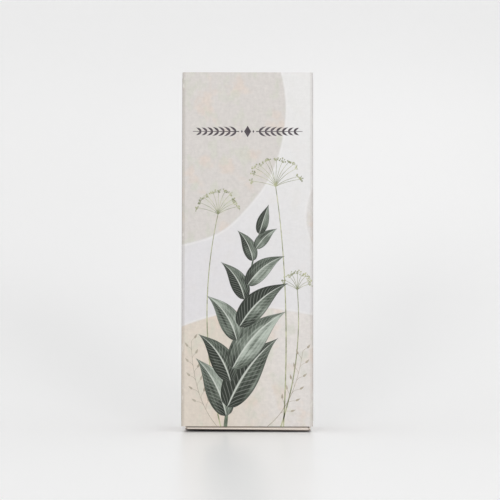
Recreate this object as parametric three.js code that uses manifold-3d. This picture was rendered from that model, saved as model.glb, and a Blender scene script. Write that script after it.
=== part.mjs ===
// A sliding matchbox for long matches, standing on its end with the label facing -Y.
// Millimetres, +Z up. The origin is on the ground, under the middle of the sleeve.
// An outer sleeve and an inner tray, each folded from one sheet of board, hold the matches.

import * as THREE from 'three';
import { mergeVertices } from 'three/addons/utils/BufferGeometryUtils.js';
import Module from 'manifold-3d';

// The sleeve, outside sizes
const sleeveWidth = 40;
const sleeveDepth = 20;
const sleeveBoard = 0.4;
const sleeveFoldRadius = 0.25; // on the inside of each fold
const glueFlapWidth = 15; // lies inside the left narrow side
const glueFilm = 0.05;
const glueMargin = 1; // bare strip between the film and each edge of the flap
const seamSetback = 0.35; // from the cut edge at the seam to the back face

// The striking coat on each narrow side
const strikerCoat = 0.1;
const strikerMargin = 2; // to the front and back faces
const strikerEndMargin = 1.5; // to the open ends

// The tray
const trayBoard = 0.4;
const trayFoldRadius = 0.3; // on the inside of each fold
const slideClearance = 0.3; // between tray and sleeve, on every side
const layerGap = 0.1; // between the layers of a rolled end wall
const cornerTabLength = 12;
const rollEndGap = 0.2; // from the tucked edge of an end wall to the tray's floor
const trayShowing = 1.6; // how far the tray's foot stands out of the sleeve

// The matches
const matchCount = 53;
const matchLength = 98;
const splintSide = 2.1;
const headCoat = 0.07; // over the corners of the splint, at the widest place
const headLength = 5;
const headWidestAt = 0.42; // share of the head's length, from its neck
const neckInset = 0.2; // the neck is this much narrower than the widest place
const headGap = 0.27; // between neighbouring heads
const matchSideGap = 0.25; // between the heads and the tray's walls
const lengthSpread = 0.6; // the splints are cut up to this much longer or shorter
const turnSpread = THREE.MathUtils.degToRad(12);
const placeSpread = 0.08;
const headRoom = 7.2; // free room over the heads

// How finely round stretches are divided
const foldSteps = 4; // for each quarter turn
const headSides = 10;
const domeSteps = 4;

// Sizes that follow from the ones above
const endWall = 3 * trayBoard + 2 * layerGap;
const trayLength = matchLength + headRoom + 2 * endWall;
const sleeveLength = trayLength;
const leftWall = 2 * sleeveBoard + glueFilm;
const sleeveInnerWidth = sleeveWidth - leftWall - sleeveBoard;
const trayWidth = sleeveInnerWidth - 2 * slideClearance;
const trayDepth = sleeveDepth - 2 * sleeveBoard - 2 * slideClearance;
const trayCentreX = (leftWall - sleeveBoard) / 2;
const headDiameter = splintSide * Math.SQRT2 + 2 * headCoat;

const printedBoard = new THREE.MeshStandardMaterial({ color: '#dcd9d5', roughness: 0.85, metalness: 0 });
const plainBoard = new THREE.MeshStandardMaterial({ color: '#e2d6c9', roughness: 0.9, metalness: 0 });
const strikingCoat = new THREE.MeshStandardMaterial({ color: '#5b3a30', roughness: 0.95, metalness: 0 });
const aspenWood = new THREE.MeshStandardMaterial({ color: '#e3cba3', roughness: 0.8, metalness: 0 });

const wasm = await Module();
wasm.setup();

function toSolid(geometry) {
  const bare = geometry.clone();
  bare.deleteAttribute('normal');
  bare.deleteAttribute('uv');
  const merged = mergeVertices(bare, 1e-4);
  return new wasm.Manifold(new wasm.Mesh({
    numProp: 3,
    vertProperties: Float32Array.from(merged.getAttribute('position').array),
    triVerts: Uint32Array.from(merged.index.array),
  }));
}

function toGeometry(solid) {
  const mesh = solid.getMesh();
  const geometry = new THREE.BufferGeometry();
  geometry.setAttribute('position', new THREE.BufferAttribute(mesh.vertProperties, 3));
  geometry.setIndex(new THREE.BufferAttribute(mesh.triVerts, 1));
  return geometry;
}

function namedMesh(name, geometry, material) {
  const mesh = new THREE.Mesh(geometry, material);
  mesh.name = name;
  return mesh;
}

// One side of a board seen edge-on. Each station is a point on the board's middle line,
// [across, along, bend], where bend is the middle line's radius at that corner.
function boardSide(stations, offset) {
  const points = stations.map(([across, along]) => new THREE.Vector2(across, along));
  const last = points.length - 1;
  const heading = (i) => points[i + 1].clone().sub(points[i]).normalize();
  const leftOf = (way) => new THREE.Vector2(-way.y, way.x);
  const side = [points[0].clone().addScaledVector(leftOf(heading(0)), offset)];
  for (let i = 1; i < last; i += 1) {
    const before = heading(i - 1);
    const turn = Math.atan2(before.cross(heading(i)), before.dot(heading(i)));
    const bend = stations[i][2];
    const start = points[i].clone().addScaledVector(before, -bend * Math.tan(Math.abs(turn) / 2));
    const centre = start.clone().addScaledVector(leftOf(before), Math.sign(turn) * bend);
    const radius = bend - Math.sign(turn) * offset;
    const from = start.sub(centre).angle();
    const arc = new THREE.EllipseCurve(centre.x, centre.y, radius, radius, from, from + turn, turn < 0);
    side.push(...arc.getPoints(foldSteps));
  }
  side.push(points[last].clone().addScaledVector(leftOf(heading(last - 1)), offset));
  return side;
}

// The edge-on outline of one folded board: out along one side, back along the other.
function foldedBoard(stations, thickness) {
  const back = [...stations].reverse();
  return new THREE.Shape([...boardSide(stations, thickness / 2), ...boardSide(back, thickness / 2)]);
}

const axisX = new THREE.Vector3(1, 0, 0);
const axisY = new THREE.Vector3(0, 1, 0);
const axisZ = new THREE.Vector3(0, 0, 1);

// An outline is drawn across the axis that it is drawn out along:
// x, y for the z axis, y, z for the x axis, and z, x for the y axis.
const drawnAcross = { x: [axisY, axisZ, axisX], y: [axisZ, axisX, axisY], z: [axisX, axisY, axisZ] };

function drawnOut(axis, outline, from, to) {
  const geometry = new THREE.ExtrudeGeometry(outline, {
    depth: to - from, bevelEnabled: false, curveSegments: foldSteps / 2,
  });
  geometry.translate(0, 0, from);
  return toSolid(geometry.applyMatrix4(new THREE.Matrix4().makeBasis(...drawnAcross[axis])));
}

function block(low, high) {
  const size = high.map((value, i) => value - low[i]);
  const geometry = new THREE.BoxGeometry(...size);
  geometry.translate(...low.map((value, i) => value + size[i] / 2));
  return toSolid(geometry);
}

// One sheet wrapped round: the flap starts inside the left side, the sheet goes round by the
// back, right and front, and its last panel covers the flap, with a film of glue between.
function makeSleeve() {
  const middleX = sleeveWidth / 2 - sleeveBoard / 2;
  const middleY = sleeveDepth / 2 - sleeveBoard / 2;
  const flapX = -middleX + sleeveBoard + glueFilm;
  const bend = sleeveFoldRadius + sleeveBoard / 2;
  const flapEnd = sleeveDepth / 2 - glueFlapWidth;
  const section = foldedBoard([
    [flapX, flapEnd],
    [flapX, middleY, bend],
    [middleX, middleY, bend],
    [middleX, -middleY, bend],
    [-middleX, -middleY, bend],
    [-middleX, sleeveDepth / 2 - seamSetback],
  ], sleeveBoard);
  const sheet = drawnOut('z', section, 0, sleeveLength);
  const overlap = sleeveBoard / 4;
  const film = block(
    [flapX - sleeveBoard / 2 - glueFilm - overlap, flapEnd + glueMargin, glueMargin],
    [flapX - sleeveBoard / 2 + overlap, sleeveDepth / 2 - 2 * glueMargin, sleeveLength - glueMargin],
  );
  return toGeometry(sheet.add(film));
}

function makeStriker() {
  const geometry = new THREE.BoxGeometry(
    strikerCoat, sleeveDepth - 2 * strikerMargin, sleeveLength - 2 * strikerEndMargin,
  );
  return geometry.translate(0, 0, sleeveLength / 2);
}

// The floor and both end walls are one strip of the sheet. Each end wall runs out to the rim,
// rolls over the corner tabs there and comes back to the floor on the inside. Only its outer
// layer is as wide as the tray: slots at the corners leave room for the folds of the sides.
function floorAndEndWalls() {
  const half = trayWidth / 2;
  const front = -trayDepth / 2;
  const back = trayDepth / 2;
  const middle = trayBoard / 2;
  const roll = trayBoard + layerGap;
  const bend = trayFoldRadius + middle;
  const tucked = back - trayBoard - rollEndGap;
  const strip = foldedBoard([
    [tucked, middle + 2 * roll],
    [front + middle, middle + 2 * roll, roll],
    [front + middle, middle, roll],
    [back - middle, middle, bend],
    [back - middle, trayLength - middle, bend],
    [front + middle, trayLength - middle, roll],
    [front + middle, trayLength - middle - 2 * roll, roll],
    [tucked, trayLength - middle - 2 * roll],
  ], trayBoard);
  const wide = drawnOut('x', strip, -half, half);
  const inner = half - trayBoard - trayFoldRadius;
  const low = trayBoard + layerGap / 2;
  const beyond = trayBoard;
  const rightSlot = block(
    [inner, front - beyond, low],
    [half + beyond, back + beyond, trayLength - low],
  );
  const leftSlot = block(
    [-half - beyond, front - beyond, low],
    [-inner, back + beyond, trayLength - low],
  );
  return wide.subtract(rightSlot).subtract(leftSlot);
}

// The tray's plan: square at the rim and round at the two long folds.
function trayPlan() {
  const half = trayWidth / 2;
  const front = -trayDepth / 2;
  const back = trayDepth / 2;
  const round = trayFoldRadius + trayBoard;
  const plan = new THREE.Shape();
  plan.moveTo(-half, front);
  plan.lineTo(half, front);
  plan.absarc(half - round, back - round, round, 0, Math.PI / 2, false);
  plan.absarc(-half + round, back - round, round, Math.PI / 2, Math.PI, false);
  return plan;
}

// A long side wall with the tab at each of its ends folded in behind the end wall.
function sideWallWithTabs(side) {
  const half = trayWidth / 2;
  const middle = trayBoard / 2;
  const tabLevel = middle + trayBoard + layerGap;
  const bend = trayFoldRadius + middle;
  const wallX = side * (half - middle);
  const tipX = side * (half - cornerTabLength);
  const strip = foldedBoard([
    [tabLevel, tipX],
    [tabLevel, wallX, bend],
    [trayLength - tabLevel, wallX, bend],
    [trayLength - tabLevel, tipX],
  ], trayBoard);
  const rimStart = -trayDepth / 2 + middle + trayBoard + layerGap;
  const floorEnd = trayDepth / 2 - trayBoard - trayFoldRadius;
  return drawnOut('y', strip, rimStart, floorEnd);
}

// The floor with both long side walls, between the corner slots.
function channel() {
  const middleX = trayWidth / 2 - trayBoard / 2;
  const middleY = trayDepth / 2 - trayBoard / 2;
  const bend = trayFoldRadius + trayBoard / 2;
  const section = foldedBoard([
    [middleX, -trayDepth / 2],
    [middleX, middleY, bend],
    [-middleX, middleY, bend],
    [-middleX, -trayDepth / 2],
  ], trayBoard);
  const start = 2 * trayBoard + layerGap + trayFoldRadius;
  return drawnOut('z', section, start, trayLength - start);
}

function makeTray() {
  const plan = drawnOut('z', trayPlan(), 0, trayLength);
  const ends = floorAndEndWalls().intersect(plan);
  return toGeometry(channel().add(ends).add(sideWallWithTabs(1)).add(sideWallWithTabs(-1)));
}

// A square splint whose tip is dipped: a neck, the widest place and a round dome.
function makeMatch(length) {
  const widest = headDiameter / 2;
  const neck = length - headLength;
  const widestZ = neck + headLength * headWidestAt;
  const profile = [new THREE.Vector2(0, neck), new THREE.Vector2(widest - neckInset, neck)];
  for (let step = 0; step < domeSteps; step += 1) {
    const angle = (step / domeSteps) * (Math.PI / 2);
    const rise = (length - widestZ) * Math.sin(angle);
    profile.push(new THREE.Vector2(widest * Math.cos(angle), widestZ + rise));
  }
  profile.push(new THREE.Vector2(0, length));
  const head = new THREE.LatheGeometry(profile, headSides).rotateX(Math.PI / 2);
  const splintTop = widestZ;
  const half = splintSide / 2;
  return toGeometry(toSolid(head).add(block([-half, -half, 0], [half, half, splintTop])));
}

// Places for the matches: layers on the tray's floor, each nesting in the one below.
function matchPlaces() {
  const pitch = headDiameter + headGap;
  const layerPitch = pitch * Math.sin(Math.PI / 3);
  const room = trayWidth - 2 * (trayBoard + matchSideGap) - headDiameter;
  const across = Math.floor(room / pitch) + 1;
  const firstY = trayDepth / 2 - trayBoard - matchSideGap - headDiameter / 2;
  const lastY = -trayDepth / 2 + headDiameter / 2;
  const places = [];
  for (let y = firstY, layer = 0; y >= lastY && places.length < matchCount; y -= layerPitch, layer += 1) {
    const inLayer = across - (layer % 2);
    for (let i = 0; i < inLayer && places.length < matchCount; i += 1) {
      places.push([(i - (inLayer - 1) / 2) * pitch, y]);
    }
  }
  return places;
}

const matchbox = new THREE.Group();

const sleeveGroup = new THREE.Group();
sleeveGroup.position.z = trayShowing;
sleeveGroup.add(namedMesh('sleeve', makeSleeve(), printedBoard));
for (const [name, side] of [['striking_strip_left', -1], ['striking_strip_right', 1]]) {
  const striker = namedMesh(name, makeStriker(), strikingCoat);
  striker.position.x = side * (sleeveWidth + strikerCoat) / 2;
  sleeveGroup.add(striker);
}
matchbox.add(sleeveGroup);

const trayGroup = new THREE.Group();
trayGroup.position.x = trayCentreX;
trayGroup.add(namedMesh('tray', makeTray(), plainBoard));

// Small differences between the matches, the same each time, from -1 to 1: what is left of
// the whole turns after i steps of a stride that never repeats.
const wander = (i, stride) => 2 * ((i * stride) % 1) - 1;
matchPlaces().forEach(([x, y], i) => {
  const length = matchLength + lengthSpread * wander(i, 0.618034);
  const match = namedMesh(`match_${String(i + 1).padStart(2, '0')}`, makeMatch(length), aspenWood);
  match.position.set(x + placeSpread * wander(i, 0.414214), y + placeSpread * wander(i, 0.732051), endWall);
  match.rotation.z = turnSpread * wander(i, 0.236068);
  trayGroup.add(match);
});
matchbox.add(trayGroup);

export default matchbox;
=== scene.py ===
# %% [markdown]
# # A matchbox for long matches
#
# The object is a sliding matchbox that stands on its end. Its sleeve and tray are folded from
# board, and the tray holds long matches. The fixed model already has every piece at its real
# size. This lesson gives each piece its finish, adds the print on the sleeve and sets up the
# picture. We begin by loading the fixed model.

# %% Load the fixed model
import math
import random

import bmesh
import bpy
from mathutils import Matrix, Vector


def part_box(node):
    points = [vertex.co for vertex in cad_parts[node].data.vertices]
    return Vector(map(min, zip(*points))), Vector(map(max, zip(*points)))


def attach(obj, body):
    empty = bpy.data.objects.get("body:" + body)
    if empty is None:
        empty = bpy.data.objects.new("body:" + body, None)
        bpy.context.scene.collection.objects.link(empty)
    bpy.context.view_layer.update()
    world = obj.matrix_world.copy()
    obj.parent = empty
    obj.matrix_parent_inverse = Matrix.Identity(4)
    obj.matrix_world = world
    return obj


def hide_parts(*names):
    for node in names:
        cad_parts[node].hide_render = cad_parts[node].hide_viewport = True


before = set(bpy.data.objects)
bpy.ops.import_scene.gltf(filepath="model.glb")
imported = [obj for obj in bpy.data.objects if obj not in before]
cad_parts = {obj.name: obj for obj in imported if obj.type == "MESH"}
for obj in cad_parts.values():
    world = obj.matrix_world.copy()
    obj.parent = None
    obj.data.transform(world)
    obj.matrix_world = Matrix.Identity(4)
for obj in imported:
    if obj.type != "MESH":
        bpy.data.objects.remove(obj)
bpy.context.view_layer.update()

# %% [markdown]
# ## Units and places
#
# Blender works in metres, but a matchbox is easier to think of in millimetres, so `mm` turns
# one into the other. The places that the print and the finishes need come from the boxes of the
# fixed pieces, so they would follow if the box changed.

# %% Places taken from the fixed pieces
mm = 0.001

sleeve_low, sleeve_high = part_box("sleeve")
tray_low, tray_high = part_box("tray")
half_width = (sleeve_high.x - sleeve_low.x) / 2
half_depth = (sleeve_high.y - sleeve_low.y) / 2
sleeve_height = sleeve_high.z - sleeve_low.z
front_y = sleeve_low.y
match_nodes = sorted(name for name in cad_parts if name.startswith("match_"))

print(f"sleeve {2 * half_width / mm:.1f} x {2 * half_depth / mm:.1f} mm,"
      f" {sleeve_height / mm:.1f} mm tall, {len(match_nodes)} matches")

# %% [markdown]
# ## The camera
#
# The picture is taken almost straight on, from a little above the table, with the camera tipped
# up by about two degrees. That makes the top of the box about one hundredth narrower than its
# foot. A long lens keeps the sides out of sight. The camera stands a little to the right, which
# puts the box left of the middle by a few pixels, and it rolls by less than a tenth of a degree.

# %% Camera
picture_side_px = 500
focal_px = 1314.0
sensor_mm = 36.0
camera_distance = 0.400
camera_height = 0.0392
camera_right = 0.00081
camera_tilt = math.radians(2.28)
camera_roll = math.radians(-0.087)
clip_near = 0.01
clip_far = 20.0

camera = bpy.data.objects.new("camera", bpy.data.cameras.new("camera"))
camera.data.sensor_width = sensor_mm
camera.data.lens = focal_px / picture_side_px * sensor_mm
camera.data.clip_start = clip_near
camera.data.clip_end = clip_far
camera.location = (camera_right, front_y - camera_distance, camera_height)
camera.rotation_euler = (math.radians(90) + camera_tilt, camera_roll, 0.0)
bpy.context.scene.collection.objects.link(camera)
bpy.context.scene.camera = camera
bpy.context.scene.view_settings.view_transform = "Standard"
print(f"lens {camera.data.lens:.1f} mm")

# %% [markdown]
# ## Colours as they are seen
#
# A picked colour is a screen colour, but shaders want linear light. This small function
# turns the usual two-digit notation into the linear values.

# %% Colours
def seen(notation):
    """A screen colour such as d6d2cb as linear red, green, blue and alpha."""
    parts = [int(notation[i:i + 2], 16) / 255 for i in (0, 2, 4)]
    linear = [p / 12.92 if p <= 0.04045 else ((p + 0.055) / 1.055) ** 2.4 for p in parts]
    return (*linear, 1.0)


print("paper grey", [round(value, 3) for value in seen("e0dee0")])

# %% [markdown]
# ## Shader maths that reads like maths
#
# A material is a tree of nodes. Writing the links one by one hides the idea, so `Signal` wraps
# one socket: adding or multiplying signals adds the Math node that does it. A plain number may
# stand on either side of the sign.

# %% Signals
class Signal:
    """One socket of a tree of nodes, so that sums on it read as plain sums."""

    def __init__(self, recipe, socket):
        self.recipe = recipe
        self.socket = socket

    def math(self, operation, first, second=0.0):
        return self.recipe.add("Math", {"operation": operation}, {0: first, 1: second})

    def __add__(self, other):
        return self.math("ADD", self, other)

    def __sub__(self, other):
        return self.math("SUBTRACT", self, other)

    def __rsub__(self, other):
        return self.math("SUBTRACT", other, self)

    def __mul__(self, other):
        return self.math("MULTIPLY", self, other)

    def __truediv__(self, other):
        return self.math("DIVIDE", self, other)

    def __pow__(self, other):
        return self.math("POWER", self, other)

    __radd__ = __add__
    __rmul__ = __mul__

    def size(self):
        return self.math("ABSOLUTE", self)

    def most(self, other):
        return self.math("MAXIMUM", self, other)

    def wave(self):
        return self.math("SINE", self)

    def rise(self, low, high):
        """0 below low, 1 above high, with a smooth step between."""
        return self.recipe.add(
            "MapRange", {"interpolation_type": "SMOOTHSTEP"},
            {"Value": self, "From Min": low, "From Max": high},
        )


print("a signal can be added to, scaled, raised to a power and compared")

# %% [markdown]
# ## Recipes and finishes
#
# A `Recipe` holds one tree of nodes. Its method `add` makes any node: first its settings, then
# the values or links of its sockets. A `Finish` is the recipe of a new material, with its
# shader. The world of the scene has a tree of its own, so it gets a plain recipe later on.

# %% Recipes
seen_rays = ("Is Camera Ray", "Is Glossy Ray", "Is Transmission Ray")


class Recipe:
    """A tree of nodes that grows by its method add."""

    def __init__(self, tree):
        self.tree = tree

    def feed(self, socket, value):
        if isinstance(value, Signal):
            self.tree.links.new(value.socket, socket)
        elif socket.type == "VECTOR":
            socket.default_value = value[:3]
        else:
            socket.default_value = value

    def add(self, kind, settings=None, inputs=None, output=0):
        node = self.tree.nodes.new("ShaderNode" + kind)
        for name, value in (settings or {}).items():
            setattr(node, name, value)
        for name, value in (inputs or {}).items():
            self.feed(node.inputs[name], value)
        return Signal(self, node.outputs[output])

    def in_view(self):
        """1 for what is seen, straight on or mirrored, and 0 for light that is on its way."""
        view = self.add("LightPath", output=seen_rays[0])
        for kind in seen_rays[1:]:
            view = view.most(self.add("LightPath", output=kind))
        return view


print("rays that count as seen:", len(seen_rays))

# %% Finishes
class Finish(Recipe):
    """A new material. Plain numbers go straight onto its shader's sockets."""

    def __init__(self, name, **sockets):
        self.material = bpy.data.materials.new(name)
        self.material.use_nodes = True
        super().__init__(self.material.node_tree)
        self.shader = self.tree.nodes["Principled BSDF"]
        self.shader.inputs["Metallic"].default_value = 0.0
        for socket, value in sockets.items():
            self.feed(self.shader.inputs[socket.replace("_", " ")], value)

    def place(self):
        """Object coordinates, which are the metres of the shared frame."""
        return self.add("TexCoord", output="Object")

    def normal(self):
        return self.add("NewGeometry", output="Normal")

    def parts(self, vector):
        """The x, y and z of a vector as three signals."""
        return [self.add("SeparateXYZ", inputs={0: vector}, output=i) for i in range(3)]

    def joined(self, x, y, z):
        return self.add("CombineXYZ", inputs={0: x, 1: y, 2: z})

    def stretched(self, vector, scale):
        return self.add("Mapping", inputs={"Vector": vector, "Scale": scale})

    def noise(self, vector, scale, detail=3.0, roughness=0.55):
        return self.add("TexNoise", inputs={
            "Vector": vector, "Scale": scale, "Detail": detail, "Roughness": roughness,
        })

    def mix(self, share, first, second):
        """A colour between two colours: share 0 gives the first and 1 the second."""
        return self.add("Mix", {"data_type": "RGBA"}, {0: share, 6: first, 7: second}, output=2)

    def shaded(self, colour, amount):
        """A colour made lighter or darker by a factor."""
        return self.add("VectorMath", {"operation": "SCALE"}, {0: colour, "Scale": amount})

    def bumped(self, height, depth, strength):
        normal = self.add("Bump", inputs={
            "Height": height, "Distance": depth, "Strength": strength,
        })
        self.feed(self.shader.inputs["Normal"], normal)

    def colour(self, value):
        self.feed(self.shader.inputs["Base Color"], value)
        return self.material


print("helpers ready")

# %% [markdown]
# ## The studio
#
# The real picture has a white sheet that sweeps up right behind the box. A plane would show an
# edge, so it is a strip that is extruded along its length: flat, then a quarter circle, then
# upright. It lies a fifth of a millimetre under the box, which leaves a dark line below its foot.

# %% Shape of the white sheet
sheet_half = 3.0
sheet_level = -0.2 * mm
sheet_front = -1.2
sheet_top = 3.0
sweep_start = 0.012
sweep_radius = 0.56
sweep_steps = 24


def sheet_stations():
    """How far back and how high the sheet is: flat, then round, then upright."""
    stations = [(sweep_start, 0.0)]
    for step in range(1, sweep_steps + 1):
        angle = math.pi / 2 * step / sweep_steps
        stations.append((sweep_start + sweep_radius * math.sin(angle),
                         sweep_radius * (1 - math.cos(angle))))
    stations.append((sweep_start + sweep_radius, sheet_top))
    return stations


def make_sheet():
    bm = bmesh.new()
    ends = [bm.verts.new((x, sheet_front, sheet_level)) for x in (-sheet_half, sheet_half)]
    edge = bm.edges.new(ends)
    for back, height in sheet_stations():
        made = bmesh.ops.extrude_edge_only(bm, edges=[edge])["geom"]
        edge = next(part for part in made if isinstance(part, bmesh.types.BMEdge))
        for vert in edge.verts:
            vert.co.y = back
            vert.co.z = sheet_level + height
    bm.normal_update()
    if bm.faces[:][0].normal.z < 0:
        bmesh.ops.reverse_faces(bm, faces=bm.faces)
    for face in bm.faces:
        face.smooth = True
    mesh = bpy.data.meshes.new("white_sheet")
    bm.to_mesh(mesh)
    bm.free()
    return bpy.data.objects.new("white_sheet", mesh)


sheet = make_sheet()
bpy.context.scene.collection.objects.link(sheet)
print("sheet faces:", len(sheet.data.polygons))

# %% [markdown]
# ## Paper of the sheet
#
# A little gloss in the paper gives the faint mirror image of the box. Paper this white would
# need more light than suits the box, so what is seen of it is a little lighter than what lights
# the box. That extra is strongest in a wide, soft patch to the right of the box and fades
# towards the top, and there is none under the tray, where the shadow has to stay dark. Seen from
# its back the sheet is clear, so that the box can be looked at from every side.

# %% Paper of the white sheet
paper_grey = seen("ebebeb")
paper_pale = seen("efefef")
paper_in_view = seen("fafafa")

glow_x = 70 * mm
glow_z = 110 * mm
glow_squash = 0.8
glow_near = 20 * mm
glow_far = 150 * mm
glow_gain = 0.30
fade_from = 140 * mm
fade_to = 240 * mm
fade_loss = 0.35
foot_margin = 0.5 * mm


def extra_light(x, z):
    """How strong the extra light of the paper is: a soft round patch, less at the top."""
    away_x = (x - glow_x) * glow_squash
    away_z = z - glow_z
    away = (away_x * away_x + away_z * away_z) ** 0.5
    patch = 1 - away.rise(glow_near, glow_far)
    return 1 + glow_gain * patch - fade_loss * z.rise(fade_from, fade_to)


def sheet_paper():
    finish = Finish("white_sheet", Roughness=0.28, IOR=1.22, Emission_Strength=0.095)
    in_view = finish.in_view()
    place = finish.place()
    x, y, z = finish.parts(place)
    beside = x.size().rise(tray_high.x - foot_margin, tray_high.x)
    in_front = y.size().rise(tray_high.y - foot_margin, tray_high.y)
    lit = in_view * beside.most(in_front) * extra_light(x, z)
    finish.feed(finish.shader.inputs["Emission Color"], finish.joined(lit, lit, lit))
    cloud = finish.noise(place, scale=4.0, detail=1.0)
    paper = finish.mix(cloud, paper_grey, paper_pale)
    finish.colour(finish.mix(in_view, paper, paper_in_view))

    from_back = finish.add("NewGeometry", output="Backfacing")
    clear = finish.add("BsdfTransparent")
    opaque = Signal(finish, finish.shader.outputs[0])
    both = finish.add("MixShader", inputs={0: from_back, 1: opaque, 2: clear})
    finish.feed(finish.tree.nodes["Material Output"].inputs["Surface"], both)
    return finish.material


sheet.data.materials.append(sheet_paper())
print("paper:", sheet.data.materials[0].name)

# %% [markdown]
# ## Light
#
# Most of the light comes from all round, as in a bright white room, so colours look as they are
# written. The room is seen a little brighter than it lights the box, which gives views from
# behind a pale ground too.

# %% The white room
room_strength = 0.652
room_in_view = 0.90

world = bpy.data.worlds.new("white_room")
world.use_nodes = True
sky = world.node_tree.nodes["Background"]
sky.inputs["Color"].default_value = (1.0, 1.0, 1.0, 1.0)
room = Recipe(world.node_tree)
room.feed(sky.inputs["Strength"], room.add("MapRange", inputs={
    "Value": room.in_view(), "To Min": room_strength, "To Max": room_in_view,
}))
bpy.context.scene.world = world
print("the room lights at", room_strength, "and is seen at", room_in_view)

# %% [markdown]
# ## Lamps
#
# Two soft lamps in front, left and right and rather low, cast the pair of faint shadows that
# spread up the sheet behind the box. Since they stand well in front, the folds at the sides of
# the box turn a little darker. A third, large lamp over the camera fills in.

# %% Lamps
aim = Vector((0.0, 0.0, 0.05))
lamps = (
    # name, degrees to the right, degrees up, metres away, size, watts
    ("lamp_left", -20.0, 11.5, 1.23, 0.34, 2.40),
    ("lamp_right", 26.7, 16.4, 1.23, 0.34, 2.12),
    ("lamp_front", 0.0, 25.0, 1.20, 0.80, 0.86),
)

for name, right, up, away, size, watts in lamps:
    lamp = bpy.data.objects.new(name, bpy.data.lights.new(name, "AREA"))
    lamp.data.shape = "DISK"
    lamp.data.size = size
    lamp.data.energy = watts
    sideways = Matrix.Rotation(math.radians(right), 3, "Z")
    upwards = Matrix.Rotation(math.radians(-up), 3, "X")
    lamp.location = aim + sideways @ upwards @ Vector((0.0, -away, 0.0))
    lamp.rotation_euler = (aim - lamp.location).to_track_quat("-Z", "Y").to_euler()
    bpy.context.scene.collection.objects.link(lamp)
    print(name, [round(value, 2) for value in lamp.location])

# %% [markdown]
# ## Colours of the print
#
# The sleeve is coated board with a matt print: big quiet fields of stone grey, cool white and
# sand that meet in curves. All of them are pale and close to one another, so they are kept
# together here, where they are easy to compare, with the sizes of the fields' edges.

# %% Colours and sizes of the print
stone_grey = seen("d7d2ce")
cool_white = seen("e0dee0")
pale_white = seen("e8e7e6")
sand = seen("dcd2c6")
cream = seen("e0dbd7")
halo_white = seen("ebe9e8")
warm_wash = seen("e2cfc0")
green_wash = seen("cdd0c0")
# painted shade for the rounded folds, not an ink of the print
painted_fold_shade = seen("8d8377")
worn_white = seen("f1eee9")
bare_board = seen("cfc4b6")

field_edge = 0.35 * mm
field_rim = 0.56 * mm
field_wander = 5.0 * mm
halo_share = 0.55
ground_mottling = 0.12
lighter_up = 0.8
lighter_right = 0.5
lighter_from = 0.35
print("stone grey", [round(value, 3) for value in stone_grey])

# %% [markdown]
# ## Fields of colour
#
# The fields could be painted on a picture that is laid on the box, but a formula stays sharp and
# needs no file. Each field is a distance from a centre and a smooth step, with an edge that
# wanders a little and a thin pale rim where two inks don't quite meet. The fields go on round
# the box, because the same formula reads the place on every side.

# %% Fields of colour
def field(x, z, centre, radius, wander):
    """1 inside a round field and 0 outside, and the same for a thin line along its rim."""
    away_x = x - centre[0]
    away_z = z - centre[1]
    distance = (away_x * away_x + away_z * away_z) ** 0.5 + wander
    inside = 1 - distance.rise(radius - field_edge, radius + field_edge)
    rim = 1 - (distance - (radius + field_edge)).size().rise(0.0, field_rim)
    return inside, rim


def from_left(x):
    """0 at the left edge of the front and 1 at its right edge."""
    return (x + half_width) / (2 * half_width)


def printed_fields(finish, place, x, z):
    """The ground with its fields, and how mottled the ink is at each place."""
    wander = (finish.noise(place, scale=26.0, detail=1.0) - 0.5) * field_wander
    upwards = (z - sleeve_low.z) / sleeve_height
    right = from_left(x)
    slope = (upwards * lighter_up + right * lighter_right - lighter_from).rise(0.0, 0.9)
    colour = finish.mix(slope, cool_white, pale_white)
    mottling = ground_mottling
    for centre, radius, fill, share in (
        # centre across and up, radius, ink, how much of it covers the ground
        ((-31 * mm, 98 * mm), 43 * mm, stone_grey, 1.0),
        ((6 * mm, -27 * mm), 64 * mm, finish.mix(right.rise(0.25, 0.85), sand, cream), 1.0),
        ((37 * mm, 66 * mm), 19 * mm, stone_grey, 0.55),
    ):
        inside, rim = field(x, z, centre, radius, wander)
        colour = finish.mix(rim * halo_share, colour, halo_white)
        colour = finish.mix(inside * share, colour, fill)
        mottling = inside.most(mottling)
    return colour, mottling


print("fields have a rim of", round(field_rim / mm, 2), "mm")

# %% [markdown]
# ## Mottled ink
#
# The print looks like ink on laid paper. Close up there are faint warm and green clouds, pale
# dabs, and a weave of fibres that run both ways. Stretched noise gives the fibres. The white
# ground is much calmer than the fields, so `mottling` scales all of it.

# %% Mottled ink
cloud_share = 0.42
dab_contrast = 0.26
weave_contrast = 0.09
least_unrest = 0.4
thread = 0.22


def mottled(finish, place, colour, mottling):
    """The colour with its clouds and fibres, and the weave by itself for the bump."""
    cloud = finish.noise(place, scale=170.0, detail=2.0)
    other_cloud = finish.noise(finish.stretched(place, (1.3, 1.0, 0.8)), scale=230.0, detail=2.0)
    tinted = finish.mix(cloud.rise(0.50, 0.70) * mottling * cloud_share, colour, warm_wash)
    tinted = finish.mix(other_cloud.rise(0.50, 0.70) * mottling * cloud_share, tinted, green_wash)
    dabs = finish.noise(place, scale=820.0, detail=3.0, roughness=0.7)
    across = finish.noise(finish.stretched(place, (thread, 1.0, 1.0)), scale=1900.0, detail=2.0)
    along = finish.noise(finish.stretched(place, (1.0, 1.0, thread)), scale=1900.0, detail=2.0)
    weave = across + along
    unrest = (dabs - 0.5) * dab_contrast + (weave - 1.0) * weave_contrast
    strength = mottling * (1 - least_unrest) + least_unrest
    return finish.shaded(tinted, 1.0 + unrest * strength), weave


print("clouds reach a share of", cloud_share)
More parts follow.
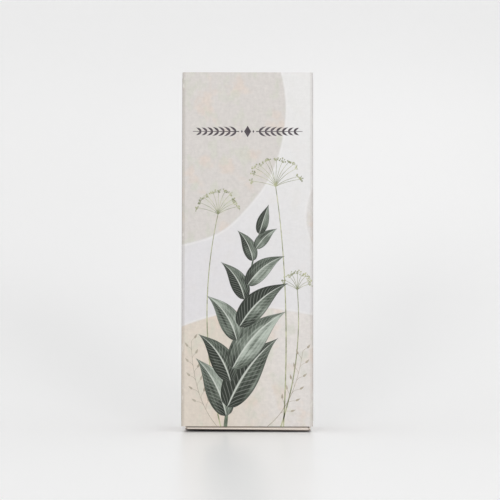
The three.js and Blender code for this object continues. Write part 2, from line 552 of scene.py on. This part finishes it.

# %% [markdown]
# ## Printed board
#
# Where a point lies on the outside of the board it gets the print, and inside and on the cut
# edges the bare board with its fibres. The fixed sleeve is one solid, so the outside is told by
# the distance from the rounded outline of the box, and a cut edge by which way it faces. At the
# folds the ink gets painted shade, darker at the left fold than at the right, as the rounded
# board turns from the light, and it is worn through to white in places.

# %% Printed board
fold_round = 0.65 * mm
fold_band = 1.15 * mm
# how strong the painted shade at the folds is, and how much less of it the right fold gets
painted_fold_share = 0.24
painted_fold_less_right = 0.07
worn_share = 0.55
print_depth = 0.06 * mm
fibre_depth = 0.012 * mm
bare_darkest = 0.88
bare_range = 0.24


def board_fibre(finish, place):
    return finish.noise(finish.stretched(place, (1.0, 1.0, 0.2)), scale=1500.0, detail=5.0)


def on_outside(x, y):
    """1 on the outer skin of the folded board and 0 inside it."""
    inset_x = (x.size() - (half_width - fold_round)).most(0.0)
    inset_y = (y.size() - (half_depth - fold_round)).most(0.0)
    corner = (inset_x * inset_x + inset_y * inset_y) ** 0.5
    return corner.rise(fold_round - print_depth, fold_round - print_depth / 2)


def near_fold(x, y):
    """1 on the rounded folds and 0 on the flat of the panels."""
    return (x.size().rise(half_width - fold_band, half_width - fold_round)
            * y.size().rise(half_depth - fold_band, half_depth - fold_round))


def printed_board():
    finish = Finish("printed_board", Roughness=0.72)
    place = finish.place()
    x, y, z = finish.parts(place)
    colour, mottling = printed_fields(finish, place, x, z)
    inked, weave = mottled(finish, place, colour, mottling)

    fold = near_fold(x, y)
    # painted shade: the folds are darkened where the board turns from the lamps, more at the left
    # than at the right
    inked = finish.mix(fold * (painted_fold_share - from_left(x) * painted_fold_less_right), inked, painted_fold_shade)
    scuff = finish.noise(finish.stretched(place, (1.0, 1.0, 0.3)), scale=900.0, detail=4.0)
    inked = finish.mix(fold * scuff.rise(0.56, 0.70) * worn_share, inked, worn_white)

    fibre = board_fibre(finish, place)
    bare = finish.shaded(bare_board, bare_darkest + fibre * bare_range)
    finish.bumped(weave + fibre * 0.5, fibre_depth, 0.5)
    cut_edge = finish.parts(finish.normal())[2].size().rise(0.6, 0.8)
    return finish.colour(finish.mix(on_outside(x, y) * (1 - cut_edge), bare, inked))


def dressed(node, material):
    """Gives a fixed piece its finish. Its mesh and place stay as they are."""
    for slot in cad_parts[node].material_slots:
        slot.material = material
    print(node, "wears", material.name)


dressed("sleeve", printed_board())

# %% [markdown]
# ## The striking coat
#
# Each narrow side has a strip to strike the match on: dark brown grit in a binder, printed in
# fine dots so that it doesn't shed. A cell pattern gives the dots without a face for each, and
# it drives both the colour and a small bump.

# %% Striking coat
dot_pitch = 0.8 * mm
dot_row_share = 0.866
dot_depth = 0.05 * mm
grit_dark = seen("4a2c24")
grit_brown = seen("6e4a3c")
between_dots = seen("8d7464")


def striking_coat():
    finish = Finish("striking_coat", Roughness=0.9)
    place = finish.place()
    y, z = finish.parts(place)[1:]
    rows = finish.joined(y / dot_pitch, z / (dot_pitch * dot_row_share), 0.0)
    from_dot = finish.add("TexVoronoi", {"feature": "F1"}, {
        "Vector": rows, "Scale": 1.0, "Randomness": 0.12,
    }, output="Distance")
    raised = 1 - from_dot.rise(0.30, 0.46)
    grit = finish.noise(place, scale=4200.0, detail=3.0)
    coat = finish.mix(grit, grit_dark, grit_brown)
    finish.bumped(raised + grit * 0.5, dot_depth, 0.8)
    return finish.colour(finish.mix(raised, between_dots, coat))


coat = striking_coat()
for strip in ("striking_strip_left", "striking_strip_right"):
    dressed(strip, coat)

# %% [markdown]
# ## Making a piece
#
# Every new piece ends the same way: doubles are merged, the faces are turned outward, the mesh
# becomes an object at the origin, and the piece rides on the body that carries it.

# %% Finishing a piece
merge_distance = 0.0005 * mm


def finished(name, bm, materials, body):
    bmesh.ops.remove_doubles(bm, verts=bm.verts, dist=merge_distance)
    bmesh.ops.recalc_face_normals(bm, faces=bm.faces)
    for face in bm.faces:
        face.smooth = False
    mesh = bpy.data.meshes.new(name)
    bm.to_mesh(mesh)
    bm.free()
    for material in materials:
        mesh.materials.append(material)
    piece = bpy.data.objects.new(name, mesh)
    bpy.context.scene.collection.objects.link(piece)
    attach(piece, body)
    print(name, "faces:", len(mesh.polygons))
    return piece


print("doubles merge within", round(merge_distance / mm, 4), "mm")

# %% [markdown]
# ## Board of the tray
#
# The tray is plain cream board, with fibres that run up the box and faint clouds. The underside
# of its rolled rim gets painted shade, a dark brown that keeps the gap under the lifted foot dark.

# %% Tray board
tray_cream = seen("f3e7dc")
tray_pale = seen("f8efe6")
# painted shade: dark brown for the underside of the foot, so the gap under the lifted rim stays
# dark
painted_foot_shade = seen("4a332c")
foot_shade_share = 0.70
foot_shade_height = 0.9 * mm
end_wall = 1.4 * mm
tray_darkest = 0.93
tray_range = 0.14


def tray_board():
    finish = Finish("tray_board", Roughness=0.85)
    place = finish.place()
    fibre = board_fibre(finish, place)
    cloud = finish.noise(place, scale=220.0, detail=3.0)
    board = finish.mix(cloud, tray_cream, tray_pale)
    board = finish.shaded(board, tray_darkest + fibre * tray_range)
    finish.bumped(fibre, fibre_depth, 0.6)
    height = finish.parts(place)[2]
    # painted shade on the faces at the foot that face down
    at_foot = 1 - height.rise(tray_low.z + foot_shade_height, tray_low.z + end_wall)
    downward = finish.parts(finish.normal())[2] * -1.0
    foot_shade_mask = downward.rise(0.3, 0.7) * at_foot
    return finish.colour(finish.mix(foot_shade_mask * foot_shade_share, board, painted_foot_shade))


print("the rolled wall at the foot is", round(end_wall / mm, 1), "mm thick")

# %% [markdown]
# ## The tray
#
# The tray's shape is already right, so a copy of it is merged and kept. In the picture its foot
# isn't quite flat: the rolled rim at the front is pressed thin, and lifts off the table more at
# the left than at the right. The copy is cut into finer stretches there, so that its front can
# be moved smoothly. The back of the rim isn't moved.

# %% Tray
rim_lift_left = 0.60 * mm
rim_lift_right = 0.20 * mm
rim_press = 0.02 * mm
lift_depth = 7.0 * mm
lift_height = 9.0 * mm
cuts_across = 12
cuts_back = 6
cuts_up = 4


def eased(value):
    """0 below 0 and 1 above 1, with a smooth step between."""
    value = min(max(value, 0.0), 1.0)
    return value * value * (3 - 2 * value)


def cut_across(bm, axis, places):
    """Cuts the mesh square to an axis, at each place along it."""
    normal = Vector([1.0 if i == axis else 0.0 for i in range(3)])
    for place in places:
        parts = bm.verts[:] + bm.edges[:] + bm.faces[:]
        bmesh.ops.bisect_plane(bm, geom=parts, plane_co=normal * place, plane_no=normal,
                               dist=0.0001 * mm)


def pressed(point):
    """How far a point of the tray is lifted: most at the front of the foot, none behind."""
    sideways = (point.x - tray_low.x) / (tray_high.x - tray_low.x)
    lift = rim_lift_left + (rim_lift_right - rim_lift_left) * sideways
    to_front = eased(1 - (point.y - tray_low.y) / lift_depth)
    height = point.z - tray_low.z
    if height < end_wall:
        rise = lift + (-rim_press - lift) * height / end_wall
    else:
        rise = -rim_press * eased(1 - (height - end_wall) / (lift_height - end_wall))
    return rise * to_front


def make_tray():
    bm = bmesh.new()
    bm.from_mesh(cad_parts["tray"].data)
    bmesh.ops.remove_doubles(bm, verts=bm.verts, dist=merge_distance)
    across = tray_high.x - tray_low.x
    cut_across(bm, 0, [tray_low.x + across * step / cuts_across
                       for step in range(1, cuts_across)])
    cut_across(bm, 1, [tray_low.y + lift_depth * step / cuts_back
                       for step in range(1, cuts_back + 1)])
    cut_across(bm, 2, [tray_low.z + end_wall]
               + [tray_low.z + lift_height * step / cuts_up for step in range(1, cuts_up + 1)])
    for vert in bm.verts:
        vert.co.z += pressed(vert.co)
    piece = finished("tray_folded", bm, [tray_board()], "tray")
    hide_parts("tray")


make_tray()

# %% [markdown]
# ## Shape of a match
#
# A match is a square splint whose end is dipped twice, so its head is a drop that starts square
# and ends round. One closed surface does both: a column with sixteen sides, whose end face is
# extruded up ring by ring. A formula then moves each ring between the square and the circle.

# %% Shape of a match
splint_half = 1.05 * mm
head_length = 5.0 * mm
tip_half = 0.12 * mm
around = 16
corner_reach = 1.36
ring_shares = (0.0, 0.015, 0.10, 0.22, 0.42, 0.58, 0.72, 0.84, 0.93, 0.98, 1.0)
square_until = 0.35
widest_at = 0.42
dome_share = 0.59
coat_scale = 1.06
coat_taper = 0.1
neck_swell = 1.12
more_swell = 0.36


def square_reach(angle):
    """How far a square of half side 1 reaches in a direction."""
    return 1 / max(abs(math.cos(angle)), abs(math.sin(angle)))


def splint_reach(angle):
    """The splint's radius, with its corners a little worn."""
    return splint_half * min(square_reach(angle), corner_reach)


def head_reach(angle, share):
    """The head's radius: a thin coat over the square at the neck, then round, then a dome."""
    squareness = 1 - eased(share / square_until)
    swell = neck_swell + more_swell * eased(share / widest_at)
    if share > widest_at:
        swell *= math.sqrt(max(0.0, 1 - ((share - widest_at) / dome_share) ** 2))
    coated = splint_half * square_reach(angle) * (coat_scale + coat_taper * share)
    return max(squareness * coated + (1 - squareness) * splint_half * swell, tip_half)


print(f"a head is {2 * head_reach(0.0, widest_at) / mm:.1f} mm wide")

# %% [markdown]
# ## One match
#
# The cone operator with two equal radii gives the column. Its top face is the only one with
# sixteen corners up there, so it can be found again after each extrusion. Wood has material 0
# and the head material 1.

# %% One match
def with_reach(vert, reach, height):
    """Moves a point to a distance from the axis, in its own direction, and to a height."""
    angle = math.atan2(vert.co.y, vert.co.x)
    away = reach(angle)
    vert.co = Vector((away * math.cos(angle), away * math.sin(angle), height))


def add_match(bm, centre, turn, foot, length):
    """Adds one match, which stands on foot and is turned about its own axis."""
    known = set(bm.verts)
    neck = length - head_length
    bmesh.ops.create_cone(bm, cap_ends=True, segments=around, radius1=splint_half,
                          radius2=splint_half, depth=neck,
                          matrix=Matrix.Translation((0.0, 0.0, neck / 2)))
    new = [vert for vert in bm.verts if vert not in known]
    top = next(face for face in bm.faces
               if len(face.verts) == around and face.verts[0] not in known
               and min(vert.co.z for vert in face.verts) > neck / 2)
    for vert in new:
        with_reach(vert, splint_reach, vert.co.z)
    for share in ring_shares:
        bmesh.ops.extrude_face_region(bm, geom=[top])
        made = [vert for vert in bm.verts if vert not in known and vert not in new]
        new += made
        top = next(face for face in made[0].link_faces if len(face.verts) == around)
        for vert in made:
            with_reach(vert, lambda angle: head_reach(angle, share), neck + head_length * share)
            for face in vert.link_faces:
                face.material_index = 1
    place = Matrix.Translation((centre.x, centre.y, foot)) @ Matrix.Rotation(turn, 4, "Z")
    bmesh.ops.transform(bm, matrix=place, verts=new)


print("rings in a head:", len(ring_shares))

# %% [markdown]
# ## Wood and heads
#
# The splints are cut from pale poplar, whose grain runs along them: two noises, one fine and one
# broad, stretched a long way. The heads are red-brown and matt, with the fine grain of a dip
# that has dried.

# %% Wood and heads
wood_pale = seen("e9d3ab")
wood_dark = seen("cfae7c")
head_dark = seen("5a2c26")
head_brown = seen("7c4338")


def match_wood():
    finish = Finish("match_wood", Roughness=0.7)
    place = finish.place()
    fine = finish.noise(finish.stretched(place, (1.0, 1.0, 0.03)), scale=2600.0, detail=4.0)
    broad = finish.noise(finish.stretched(place, (1.0, 1.0, 0.02)), scale=420.0, detail=2.0)
    return finish.colour(finish.mix((fine * 0.6 + broad * 0.5).rise(0.3, 0.8),
                                    wood_pale, wood_dark))


def match_head():
    finish = Finish("match_head", Roughness=0.62)
    place = finish.place()
    grain = finish.noise(place, scale=3800.0, detail=4.0)
    cloud = finish.noise(place, scale=500.0, detail=2.0)
    return finish.colour(finish.mix((grain * 0.7 + cloud * 0.3).rise(0.3, 0.7),
                                    head_dark, head_brown))


match_materials = [match_wood(), match_head()]
print("match finishes:", [material.name for material in match_materials])

# %% [markdown]
# ## Matches in the tray
#
# The fixed model has a plain solid for each match. A detailed one takes the place of each, and
# is turned a little at random, as matches lie. The matches of one layer are one piece, because
# they lie together and share one finish.

# %% Matches in the tray
layer_apart = 1.55 * mm
turn_most = 10


def layers_of_matches():
    """The match nodes sorted into layers, by how far back they lie."""
    layers = []
    for node in match_nodes:
        low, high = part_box(node)
        back = (low.y + high.y) / 2
        if not layers or abs(layers[-1][0] - back) > layer_apart:
            layers.append((back, []))
        layers[-1][1].append(node)
    return [nodes for back, nodes in layers]


draws = random.Random(7)
for number, nodes in enumerate(layers_of_matches(), start=1):
    bm = bmesh.new()
    for node in nodes:
        low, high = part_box(node)
        turn = math.radians(draws.uniform(-turn_most, turn_most))
        add_match(bm, (low + high) / 2, turn, low.z, high.z - low.z)
    layer = finished(f"match_layer_{number}", bm, match_materials, "tray")
    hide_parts(*nodes)

# %% [markdown]
# ## Plates of ink
#
# The plants on the front are ink. Each leaf and stem is a thin plate, a few hundredths of a
# millimetre proud of the panel. That keeps their edges crisp, and each carries its own map of
# across and along, so that veins can follow the leaf. A plate starts as a grid, whose points
# are moved onto the shape, and is then extruded back to the panel. Its `level` says which ink
# lies over which. Places on the front are given in millimetres from the middle of the foot.

# %% Plates of ink
ink_step = 0.002 * mm
plate_merge = 0.0002 * mm


def new_ink():
    bm = bmesh.new()
    bm.loops.layers.uv.new("across_along")
    return bm


def add_plate(bm, place_of, columns, rows, level):
    """Adds a grid, from 0 to 1 both ways, moved onto the front panel by place_of."""
    front = front_y - ink_step * level
    grid = bmesh.ops.create_grid(bm, x_segments=columns, y_segments=rows, size=0.5,
                                 calc_uvs=True)["verts"]
    for vert in grid:
        x, z = place_of(vert.co.x + 0.5, vert.co.y + 0.5)
        vert.co = Vector((x * mm, front, z * mm))


def printed(name, bm, material):
    """Gives the plates their thickness, back to the front panel, and ends the piece."""
    bmesh.ops.remove_doubles(bm, verts=bm.verts, dist=plate_merge)
    made = bmesh.ops.extrude_face_region(bm, geom=bm.faces[:], use_keep_orig=True)["geom"]
    for part in made:
        if isinstance(part, bmesh.types.BMVert):
            part.co.y = front_y
    return finished(name, bm, [material], "sleeve")


print("one level of ink is", round(ink_step / mm, 3), "mm")

# %% [markdown]
# ## Bands and leaves
#
# Stems, rays and leaves all follow a smooth curve through a start, a pull and an end. They only
# differ in how wide they are along it, so a ribbon takes that as a function.

# %% Bands and leaves
def curve_point(stations, along):
    """A point and its direction on a smooth curve through a start, a pull and an end."""
    start, pull, end = (Vector(station) for station in stations)
    point = start * (1 - along) ** 2 + pull * (2 * along * (1 - along)) + end * along ** 2
    way = (pull - start) * (1 - along) + (end - pull) * along
    return point, way.normalized()


def ribbon(stations, half_wide):
    """A place function for a band along a curve; half_wide gives its half width there."""
    def place_of(across, along):
        point, way = curve_point(stations, along)
        side = Vector((way.y, -way.x)) * (2 * across - 1) * half_wide(along)
        return point.x + side.x, point.y + side.y
    return place_of


def leaf_width(widest, lean=0.62):
    """Half width along a leaf: round at the stalk, widest before the middle, a long tip."""
    def half_wide(along):
        return widest / 2 * math.sin(math.pi * along ** lean) ** (0.8 + 0.5 * along)
    return half_wide


def stem_width(start, end):
    """Half width along a stem that changes evenly from one width to the other."""
    return lambda along: (start + (end - start) * along) / 2


print("plate tools ready")

# %% [markdown]
# ## Ink for leaves and stems
#
# A drawn leaf has a pale midrib, side veins that run forward from it, one half darker than the
# other, and colour that pools like wash. All of that is worked out from across and along. The
# tone of a leaf is one number that slides its colours from deep green to sage.

# %% Leaf ink
deep_green = seen("222920")
mid_green = seen("616a5f")
sage = seen("bac3b8")
pale_sage = seen("d6dbd2")

vein_turns = 96.0
vein_slant = 0.19
vein_wobble = 0.02
vein_share = 0.22
rim_share = 0.55
rib_share = 0.8
darkest_tone = 0.16
tone_range = 0.75
left_darker = 0.30
stalk_darker = 0.35


def wash_of_leaf(finish, across, along, wash, tone):
    """The leaf's colour without its lines: darker at the stalk and in its left half."""
    left_half = 1 - across.rise(0.46, 0.54)
    at_stalk = 1 - along.rise(0.0, 0.30)
    streak = finish.noise(finish.joined(across * 16.0, along * 2.0, tone), scale=1.0, detail=4.0)
    broad = finish.noise(finish.joined(across * 3.5, along * 1.3, tone * 9), scale=1.0, detail=2.0)
    unrest = (wash - 0.5) * 0.9 + (streak - 0.5) * 1.1 + (broad - 0.5) * 1.3
    shade = darkest_tone + tone * tone_range + unrest
    shade = shade - left_half * left_darker - at_stalk * stalk_darker
    light = finish.mix(shade.rise(0.35, 1.0), mid_green, sage)
    return finish.mix(shade.rise(0.0, 0.42), deep_green, light)


def leaf_ink(name, tone):
    finish = Finish(name, Roughness=0.7)
    across, along = finish.parts(finish.add("UVMap", {"uv_map": "across_along"}))[:2]
    wash = finish.noise(finish.place(), scale=180.0, detail=5.0, roughness=0.65)
    body = wash_of_leaf(finish, across, along, wash, tone)
    from_rib = (across - 0.5).size() * 2.0
    veins = ((along - from_rib * vein_slant + (wash - 0.5) * vein_wobble) * vein_turns).wave()
    vein_lines = veins.rise(0.70, 1.0) * (1 - from_rib.rise(0.70, 1.0))
    body = finish.mix(vein_lines * vein_share, body, pale_sage)
    body = finish.mix(from_rib.rise(0.86, 1.0) * rim_share, body, deep_green)
    rib = 1 - from_rib.rise(0.035, 0.085)
    return finish.colour(finish.mix(rib * rib_share, body, pale_sage))


print("veins to each side of a leaf:", round(vein_turns / (2 * math.pi)))

# %% Ink for lines
def line_ink(name, dark, light):
    """Ink for thin lines and dots: two tones that change along the line."""
    finish = Finish(name, Roughness=0.75)
    wash = finish.noise(finish.place(), scale=420.0, detail=4.0)
    return finish.colour(finish.mix(wash.rise(0.3, 0.7), dark, light))


stem_ink = line_ink("stem_ink", seen("4e5a4c"), seen("8f9b84"))
flower_ink = line_ink("flower_ink", seen("7f8468"), seen("c6c7a4"))
sprig_ink = line_ink("sprig_ink", seen("a39a8a"), seen("bdb4a4"))
charcoal_ink = line_ink("charcoal_ink", seen("463e44"), seen("5f575c"))
print("inks ready")

# %% [markdown]
# ## The branch
#
# The main motif is a laurel branch that rises from the lower left and leans to the right. Its
# broad leaves stand in turns to both sides, large at the foot and smaller towards the tip.
# Each leaf is a piece of its own, because each has its own tone, and each lies one level over
# the one before.

# %% Branch
branch = ((-6.6, 1.5), (-4.2, 28.0), (3.6, 60.0))
branch_level = 14
stem_widths = (1.1, 0.35)
leaf_lift = 0.45
leaf_rise = 0.5
leaf_bow = 0.08
leaf_columns = 10
leaf_rows = 36
leaves = (
    # place along the stem, side, length, width, angle from the stem, tone
    (0.06, -1, 20.0, 7.8, 34, 0.55),
    (0.11, 1, 26.0, 9.8, 30, 0.15),
    (0.25, -1, 17.5, 7.2, 42, 0.20),
    (0.32, 1, 24.0, 8.8, 35, 0.75),
    (0.47, -1, 16.5, 6.6, 44, 0.62),
    (0.54, 1, 20.0, 7.4, 38, 0.10),
    (0.68, -1, 13.5, 5.4, 44, 0.12),
    (0.75, 1, 14.5, 5.6, 40, 0.55),
    (0.87, -1, 10.5, 4.2, 40, 0.30),
    (0.93, 1, 9.0, 3.6, 34, 0.65),
    (1.00, 1, 9.5, 3.6, 4, 0.25),
)


def make_stem():
    bm = new_ink()
    add_plate(bm, ribbon(branch, stem_width(*stem_widths)), 2, leaf_rows, branch_level)
    return printed("printed_stem", bm, stem_ink)


def make_leaf(number, along, side, length, width, angle, tone):
    """A leaf that leaves the stem along it and then bends out to its own angle."""
    foot, way = curve_point(branch, along)
    turn = math.radians(angle) * -side
    out = Matrix.Rotation(turn, 2) @ way
    lift = Matrix.Rotation(turn * leaf_lift, 2) @ way
    pull = foot + lift * length * leaf_rise + out * length * leaf_bow
    shape = ribbon((foot, pull, foot + out * length), leaf_width(width))
    bm = new_ink()
    add_plate(bm, shape, leaf_columns, leaf_rows, branch_level + number)
    return printed(f"printed_leaf_{number:02d}", bm, leaf_ink(f"leaf_ink_{number:02d}", tone))


make_stem()
for number, row in enumerate(leaves, start=1):
    make_leaf(number, *row)

# %% [markdown]
# ## Flower heads
#
# Around the branch stand three light flower heads of the kind that meadow plants have: fine
# rays that spread from one point, each with a tuft of tiny seeds. Their ink is pale and
# yellowish, and they lie lower than the leaves, so the leaves pass in front of them. Rays are
# thin bands and seeds are small six-sided dots. Each seed lies a little over the last, so that
# no two faces share a place.

# %% Flower heads
stalk_widths = (0.42, 0.22)
ray_widths = (0.15, 0.11)
ray_unrest = 3
spoke_width = 0.07
seeds_per_ray = 8
seed_reach = (0.25, 1.25)
seed_sizes = (0.13, 0.27)
seed_spread = 80
seed_level = 0.1
flowers = (
    # name, foot, pull, heart, spread in degrees, reach, rays, number that starts the draws
    ("printed_flower_right", (11.0, 1.5), (13.4, 42.0), (8.6, 74.5), 150, 8.4, 13, 3),
    ("printed_flower_low", (10.2, 1.5), (17.0, 22.0), (15.2, 43.0), 130, 4.6, 9, 5),
    ("printed_flower_left", (-8.0, 1.5), (-16.0, 34.0), (-9.0, 66.0), 140, 6.8, 11, 8),
)


def pointing(angle):
    """A direction on the panel, by its angle from straight up."""
    return Vector((math.sin(angle), math.cos(angle)))


def add_dot(bm, place, radius, level):
    spot = Matrix.Translation((place.x * mm, front_y - ink_step * level, place.y * mm))
    bmesh.ops.create_circle(bm, cap_ends=True, segments=6, radius=radius * mm,
                            matrix=spot @ Matrix.Rotation(math.radians(90), 4, "X"))


def add_seeds(bm, tip, angle, draws, level):
    """A tuft of seeds on short spokes round the tip of a ray. Returns the level it reached."""
    for seed in range(seeds_per_ray):
        level += seed_level
        away = draws.uniform(*seed_reach)
        lean = angle + math.radians(draws.uniform(-seed_spread, seed_spread))
        spot = tip + pointing(lean) * away
        spoke = ribbon((tip, (tip + spot) / 2, spot), stem_width(spoke_width, spoke_width))
        add_plate(bm, spoke, 1, 1, level)
        add_dot(bm, spot, draws.uniform(*seed_sizes), level + seed_level / 2)
    return level


def make_flower(name, foot, pull, heart, spread, reach, rays, start):
    """A stalk from foot to heart, rays from there, and a tuft of seeds at each ray's end."""
    draws = random.Random(start)
    level = 1.0
    bm = new_ink()
    add_plate(bm, ribbon((foot, pull, heart), stem_width(*stalk_widths)), 1, 24, level)
    top = Vector(heart)
    for ray in range(rays):
        even = -spread / 2 + spread * ray / (rays - 1)
        angle = math.radians(even + draws.uniform(-ray_unrest, ray_unrest))
        length = reach * (0.82 + 0.2 * math.cos(angle)) * draws.uniform(0.88, 1.06)
        out = pointing(angle)
        tip = top + out * length
        bend = top + Vector((out.x * 0.3, out.y * 0.62)) * length
        stem = ribbon((top, bend, tip), stem_width(*ray_widths))
        add_plate(bm, stem, 1, 8, level + seed_level)
        level = add_seeds(bm, tip, angle, draws, level)
    return printed(name, bm, flower_ink)


for row in flowers:
    make_flower(*row)

# %% [markdown]
# ## Sprigs
#
# Two faint dry sprigs fill the sand-coloured ground at the foot. A sprig is one thin curve with
# short twigs in turns to both sides, and each twig ends in a bud.

# %% Sprigs
sprig_widths = (0.20, 0.10)
twig_widths = (0.12, 0.09)
twigs = 11
first_twig = 0.25
twig_angle = 38
twig_level = 0.2
bud_width = 0.62


def make_sprig(name, foot, pull, tip, reach):
    """A curve from foot to tip, with twigs that get shorter towards the tip."""
    bm = new_ink()
    add_plate(bm, ribbon((foot, pull, tip), stem_width(*sprig_widths)), 1, 20, 1.0)
    for twig in range(twigs):
        along = first_twig + (1 - first_twig) * twig / (twigs - 1)
        start, way = curve_point((foot, pull, tip), along)
        side = -1 if twig % 2 else 1
        length = reach * (1.15 - 0.6 * along)
        out = Matrix.Rotation(math.radians(-twig_angle * side), 2) @ way
        bend = start + way * length * 0.45 + out * length * 0.1
        end = start + out * length
        level = 1.2 + twig_level * twig
        add_plate(bm, ribbon((start, bend, end), stem_width(*twig_widths)), 1, 6, level)
        bud = (end, end + out * 0.8, end + out * 1.5 + way * 0.25)
        add_plate(bm, ribbon(bud, leaf_width(bud_width)), 2, 8, level + twig_level / 2)
    return printed(name, bm, sprig_ink)


make_sprig("printed_sprig_right", (6.0, 1.5), (14.5, 8.0), (16.8, 24.0), 3.4)
make_sprig("printed_sprig_left", (-9.0, 1.5), (-16.5, 10.0), (-17.0, 27.0), 2.8)

# %% [markdown]
# ## Ornament
#
# A plain divider in charcoal crosses the upper part of the front: a lozenge in the middle with a
# small one to each side, a thin rule both ways and small leaves along it. It is made of the same
# ribbons as the plants, so its edges are just as crisp.

# %% Ornament
ornament_z = 91.4
rule_from = 2.6
rule_to = 16.8
rule_widths = (0.30, 0.16)
ornament_leaves = 7
leaf_from = 3.5
leaf_step = 1.78
first_leaf = 2.35
shorter_by = 0.1
ornament_leaf_width = 0.66
lozenge_slimness = 0.62
lozenges = ((0.0, 1.75), (-1.75, 0.45), (1.75, 0.45))


def add_rule(bm, side):
    """A thin rule to one side, which gets thinner outwards."""
    middle = side * (rule_from + rule_to) / 2
    stations = [(x, ornament_z) for x in (side * rule_from, middle, side * rule_to)]
    add_plate(bm, ribbon(stations, stem_width(*rule_widths)), 1, 4, 1.0)


def add_ornament_leaf(bm, side, up, number):
    """One small leaf over or under the rule, which points outwards."""
    foot_x = side * (leaf_from + number * leaf_step)
    length = first_leaf - number * shorter_by
    foot = (foot_x, ornament_z)
    pull = (foot_x + side * length * 0.35, ornament_z + up * length * 0.5)
    tip = (foot_x + side * length * 0.95, ornament_z + up * length * 0.66)
    add_plate(bm, ribbon((foot, pull, tip), leaf_width(ornament_leaf_width)), 2, 10, 1.2)


def add_lozenge(bm, x, tall):
    half = lozenge_slimness * tall
    stations = ((x, ornament_z - tall), (x, ornament_z), (x, ornament_z + tall))
    add_plate(bm, ribbon(stations, lambda along: half * (1 - abs(2 * along - 1))), 2, 8, 1.4)


def make_ornament():
    bm = new_ink()
    for side in (-1, 1):
        add_rule(bm, side)
        for number in range(ornament_leaves):
            for up in (-1, 1):
                add_ornament_leaf(bm, side, up, number)
    for x, tall in lozenges:
        add_lozenge(bm, x, tall)
    return printed("printed_ornament", bm, charcoal_ink)


make_ornament()
